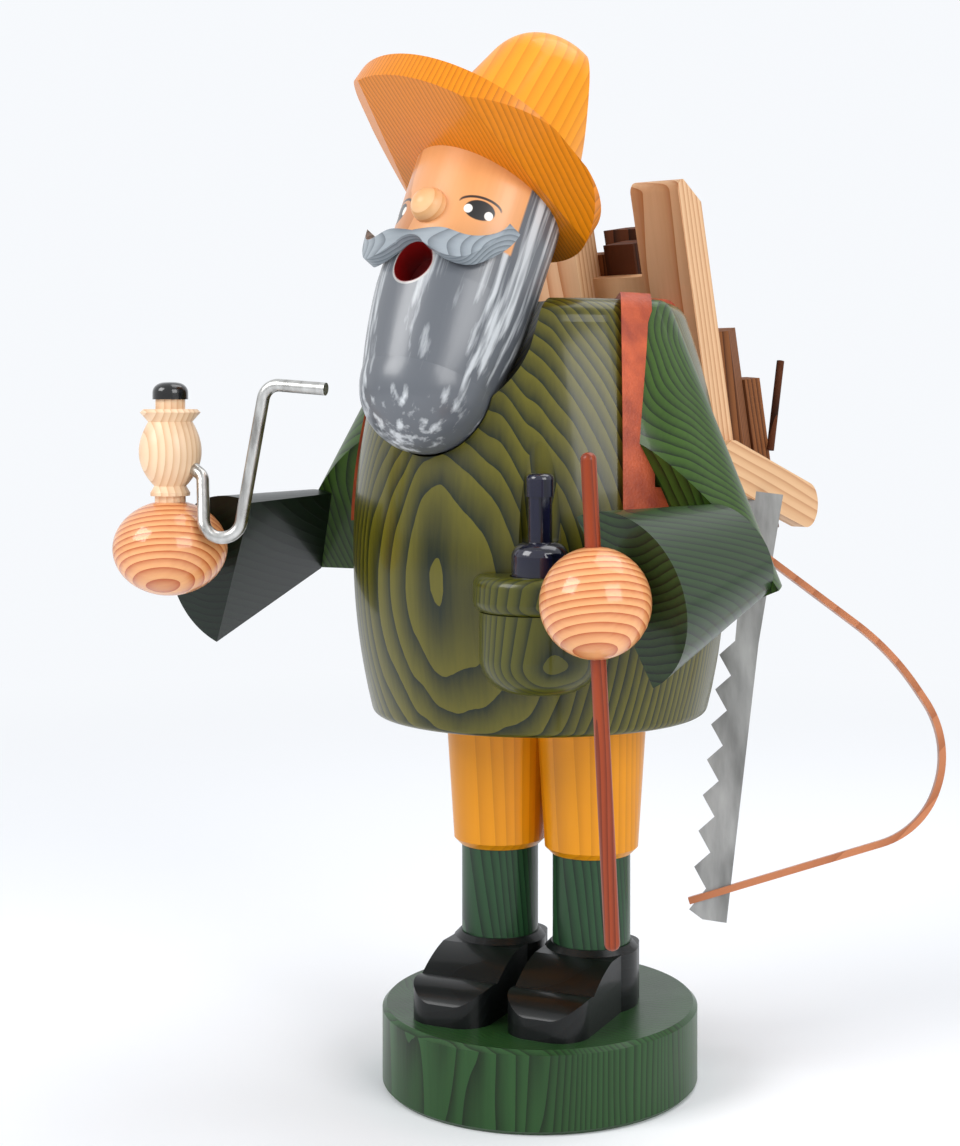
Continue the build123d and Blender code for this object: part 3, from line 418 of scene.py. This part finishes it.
# Pipe: a turned bowl of bare pale wood with a black peg for a cap, and a stem
# bent from round wire.
pipe_wood = ringed_wood(
    "pipe_wood", "f2d3b0", "dcb088", 1.1, (-0.04, -0.04, 0.115), (4, 6, 0),
    mottle=0.06, roughness=0.45, lacquer=0.2,
)
cap_black = ringed_wood(
    "cap_lacquer", "141414", "060606", 1.2, (-0.047, -0.051, 0.13), mottle=0.1,
    roughness=0.2, lacquer=0.8, relief=0.00002,
)
finish_node(pipe_wood, "pipe_bowl")
finish_node(cap_black, "pipe_cap")


def drawn_metal(name, light, dark, grain_scale, run, low_rough, high_rough):
    """Bare metal with fine marks along the way it was rolled or drawn."""
    material = bpy.data.materials.new(name)
    material.use_nodes = True
    new, link = material.node_tree.nodes.new, material.node_tree.links.new
    surface = material.node_tree.nodes["Principled BSDF"]
    surface.inputs["Metallic"].default_value = 1.0
    where = new("ShaderNodeTexCoord")
    laid = new("ShaderNodeMapping")
    laid.inputs["Scale"].default_value = run
    link(where.outputs["Object"], laid.inputs["Vector"])
    marks = new("ShaderNodeTexNoise")
    marks.inputs["Scale"].default_value = grain_scale
    marks.inputs["Detail"].default_value = 5
    link(laid.outputs["Vector"], marks.inputs["Vector"])
    tone = new("ShaderNodeValToRGB")
    tone.color_ramp.elements[0].position = 0.3
    tone.color_ramp.elements[1].position = 0.7
    tone.color_ramp.elements[0].color = stain(dark)
    tone.color_ramp.elements[1].color = stain(light)
    link(marks.outputs["Fac"], tone.inputs["Fac"])
    link(tone.outputs["Color"], surface.inputs["Base Color"])
    rough = new("ShaderNodeMapRange")
    rough.inputs["To Min"].default_value = low_rough
    rough.inputs["To Max"].default_value = high_rough
    link(marks.outputs["Fac"], rough.inputs["Value"])
    link(rough.outputs["Result"], surface.inputs["Roughness"])
    return material


finish_node(
    drawn_metal("stem_wire", "cfcfcc", "94928e", 500, (1, 1, 0.3), 0.18, 0.4), "pipe_stem"
)

# Pocket and bottle: half of a turned cup in the coat's stain, and a small
# turned bottle in blue-black gloss.
pocket_wood = ringed_wood(
    "pocket_stain", "57560f", "18220a", 1.1, (0.0, -0.012, 0.088), (3, 4, 0),
    mottle=0.4, lacquer=0.35,
)
bottle_gloss = ringed_wood(
    "bottle_gloss", "14142b", "080814", 1.2, (0.023, -0.03, 0.1), mottle=0.1,
    roughness=0.14, lacquer=0.9, relief=0.00002,
)
finish_node(pocket_wood, "pocket_pouch", "pocket_rim")
finish_node(bottle_gloss, "bottle", "bottle_cap")

# Straps: flat strips of rust brown leather, glued to the coat.
strap_leather = bpy.data.materials.new("strap_leather")
strap_leather.use_nodes = True
strap_nodes = strap_leather.node_tree
strap_surface = strap_nodes.nodes["Principled BSDF"]
strap_where = strap_nodes.nodes.new("ShaderNodeTexCoord")
strap_grain = strap_nodes.nodes.new("ShaderNodeTexVoronoi")
strap_grain.inputs["Scale"].default_value = 2100
strap_nodes.links.new(strap_where.outputs["Object"], strap_grain.inputs["Vector"])
strap_wear = strap_nodes.nodes.new("ShaderNodeTexNoise")
strap_wear.inputs["Scale"].default_value = 190
strap_wear.inputs["Detail"].default_value = 5
strap_nodes.links.new(strap_where.outputs["Object"], strap_wear.inputs["Vector"])
strap_tone = strap_nodes.nodes.new("ShaderNodeValToRGB")
strap_tone.color_ramp.elements[0].position = 0.34
strap_tone.color_ramp.elements[1].position = 0.68
strap_tone.color_ramp.elements[0].color = stain("8e3214")
strap_tone.color_ramp.elements[1].color = stain("c2552a")
strap_nodes.links.new(strap_wear.outputs["Fac"], strap_tone.inputs["Fac"])
strap_nodes.links.new(strap_tone.outputs["Color"], strap_surface.inputs["Base Color"])
strap_relief = strap_nodes.nodes.new("ShaderNodeBump")
strap_relief.inputs["Strength"].default_value = 0.5
strap_relief.inputs["Distance"].default_value = 0.0001
strap_nodes.links.new(strap_grain.outputs["Distance"], strap_relief.inputs["Height"])
strap_nodes.links.new(strap_relief.outputs["Normal"], strap_surface.inputs["Normal"])
strap_surface.inputs["Roughness"].default_value = 0.55
finish_node(
    strap_leather, "shoulder_strap_left", "shoulder_strap_right", "side_strap_left",
    "side_strap_right",
)

# Carrier: two flat posts and a slat of bare planed pine, with the pith beside
# the posts, and two foot slats with a rung between them.
carrier_wood = ringed_wood(
    "carrier_wood", "e6bd93", "bd7f50", 1.5, (0.0, -0.02, 0.15), (15, 0, 0),
    wobble=0.005, mottle=0.12, roughness=0.55, lacquer=0.1,
)
slat_wood = ringed_wood(
    "slat_wood", "e3b88c", "c38c60", 1.6, (0.0, 0.04, 0.09), (73, 0, 0),
    mottle=0.1, roughness=0.55, lacquer=0.1,
)
finish_node(carrier_wood, "carrier_post_left", "carrier_post_right", "carrier_cross_slat")
finish_node(slat_wood, "foot_slat_left", "foot_slat_right", "foot_rung")

# Firewood: logs split by hand, with rough faces along the grain, bark on
# some, and a splinter that stands off.
firewood = ringed_wood(
    "firewood", "915a34", "43200e", 1.4, (0.02, 0.07, 0.14), (15, 2, 0), wobble=0.008,
    mottle=0.6, roughness=0.8, lacquer=0.0, relief=0.0005,
)
bark = ringed_wood(
    "bark", "6a3a22", "2c170d", 2.4, (0.0, 0.06, 0.14), (15, 3, 0), wobble=0.012,
    mottle=0.8, roughness=0.9, lacquer=0.0, relief=0.0008,
)
finish_node(firewood, "log_split_left", "log_split_right", "log_lower")
finish_node(bark, "log_bark", "log_rear", "twig")

# Saw: a toothed blade cut from gray sheet, and a bow of bent cane that is
# kerfed over both of its ends.
finish_node(
    drawn_metal("blade_sheet", "a8a8a6", "747472", 260, (1, 1, 0.12), 0.3, 0.5), "saw_blade"
)
bow_cane = ringed_wood(
    "bow_cane", "d4885e", "b8704a", 5.0, (0.04, 0.05, 0.06), (0, 40, 30), mottle=0.3,
    roughness=0.45, lacquer=0.2,
)
finish_node(bow_cane, "saw_bow")

# Floor: a plain pale sheet, larger than the view. It keeps the shadow near the
# figure, and far off the camera sees it run into the white of the room.
room_white = (0.93, 0.95, 0.98, 1)
fade_start, fade_end = 0.12, 0.55
bpy.ops.object.select_all(action="DESELECT")
bpy.ops.mesh.primitive_plane_add(size=6)
floor = bpy.context.active_object
floor.name = "floor"
floor_paint = bpy.data.materials.new("floor_paint")
floor_paint.use_nodes = True
floor_tree = floor_paint.node_tree
floor_surface = floor_tree.nodes["Principled BSDF"]
floor_surface.inputs["Base Color"].default_value = (0.93, 0.94, 0.96, 1)
floor_surface.inputs["Roughness"].default_value = 0.9
floor_where = floor_tree.nodes.new("ShaderNodeTexCoord")
floor_radius = floor_tree.nodes.new("ShaderNodeVectorMath")
floor_radius.operation = "LENGTH"
floor_tree.links.new(floor_where.outputs["Object"], floor_radius.inputs[0])
floor_far = floor_tree.nodes.new("ShaderNodeMapRange")
floor_far.interpolation_type = "SMOOTHSTEP"
floor_far.inputs["From Min"].default_value = fade_start
floor_far.inputs["From Max"].default_value = fade_end
floor_tree.links.new(floor_radius.outputs["Value"], floor_far.inputs["Value"])
floor_seen = floor_tree.nodes.new("ShaderNodeLightPath")
floor_share = add_math(
    floor_tree, "MULTIPLY", floor_far.outputs["Result"], floor_seen.outputs["Is Camera Ray"]
)
floor_white = floor_tree.nodes.new("ShaderNodeEmission")
floor_white.inputs["Color"].default_value = room_white
floor_mix = floor_tree.nodes.new("ShaderNodeMixShader")
floor_tree.links.new(floor_share, floor_mix.inputs["Fac"])
floor_tree.links.new(floor_surface.outputs["BSDF"], floor_mix.inputs[1])
floor_tree.links.new(floor_white.outputs["Emission"], floor_mix.inputs[2])
floor_tree.links.new(
    floor_mix.outputs["Shader"], floor_tree.nodes["Material Output"].inputs["Surface"]
)
floor.data.materials.append(floor_paint)

# Studio light: a large soft lamp on each side of the viewer, one above, and
# a pale room, which the camera, metal and lacquer see as white.
lamp_aim = Vector((0, 0, 0.1))
for name, place, size, power in (
    ("key_lamp", (-0.35, -0.75, 0.65), 0.5, 6.0),
    ("side_lamp", (0.80, -0.25, 0.45), 0.5, 4.2),
    ("top_lamp", (0.15, 0.25, 0.85), 0.6, 3.2),
):
    lamp_data = bpy.data.lights.new(name, "AREA")
    lamp_data.size = size
    lamp_data.energy = power
    lamp = bpy.data.objects.new(name, lamp_data)
    lamp.location = place
    lamp.rotation_euler = (lamp_aim - Vector(place)).to_track_quat("-Z", "Y").to_euler()
    bpy.context.scene.collection.objects.link(lamp)
room = bpy.data.worlds.new("room")
room.use_nodes = True
room_tree = room.node_tree
sky = room_tree.nodes["Background"]
sky.inputs["Color"].default_value = (0.86, 0.90, 0.96, 1)
sky.inputs["Strength"].default_value = 0.45
white = room_tree.nodes.new("ShaderNodeBackground")
white.inputs["Color"].default_value = room_white
white.inputs["Strength"].default_value = 1.0
seen = room_tree.nodes.new("ShaderNodeLightPath").outputs
seen_or_mirrored = add_math(room_tree, "MAXIMUM", seen["Is Camera Ray"], seen["Is Glossy Ray"])
shown_white = add_math(room_tree, "MAXIMUM", seen_or_mirrored, seen["Is Transmission Ray"])
backdrop = room_tree.nodes.new("ShaderNodeMixShader")
room_tree.links.new(shown_white, backdrop.inputs["Fac"])
room_tree.links.new(sky.outputs["Background"], backdrop.inputs[1])
room_tree.links.new(white.outputs["Background"], backdrop.inputs[2])
room_tree.links.new(backdrop.outputs["Shader"], room_tree.nodes["World Output"].inputs["Surface"])
bpy.context.scene.world = room

# Camera: level, at the photograph's distance and height, turned to the
# figure's left front.
view_turn = radians(36)
view_distance, view_height = 0.360, 0.129
photo_width, focal_pixels = 960, 1883
centre_right_pixels, centre_low_pixels = 60, 172
camera_data = bpy.data.cameras.new("camera")
camera_data.sensor_fit = "HORIZONTAL"
camera_data.sensor_width = 36
camera_data.lens = focal_pixels / photo_width * camera_data.sensor_width
camera_data.shift_x = -centre_right_pixels / photo_width
camera_data.shift_y = -centre_low_pixels / photo_width
camera = bpy.data.objects.new("camera", camera_data)
camera.location = (
    sin(view_turn) * view_distance, -cos(view_turn) * view_distance, view_height
)
camera.rotation_euler = Euler((radians(90), 0, view_turn))
bpy.context.scene.collection.objects.link(camera)
bpy.context.scene.camera = camera
bpy.context.scene.view_settings.view_transform = "Standard"
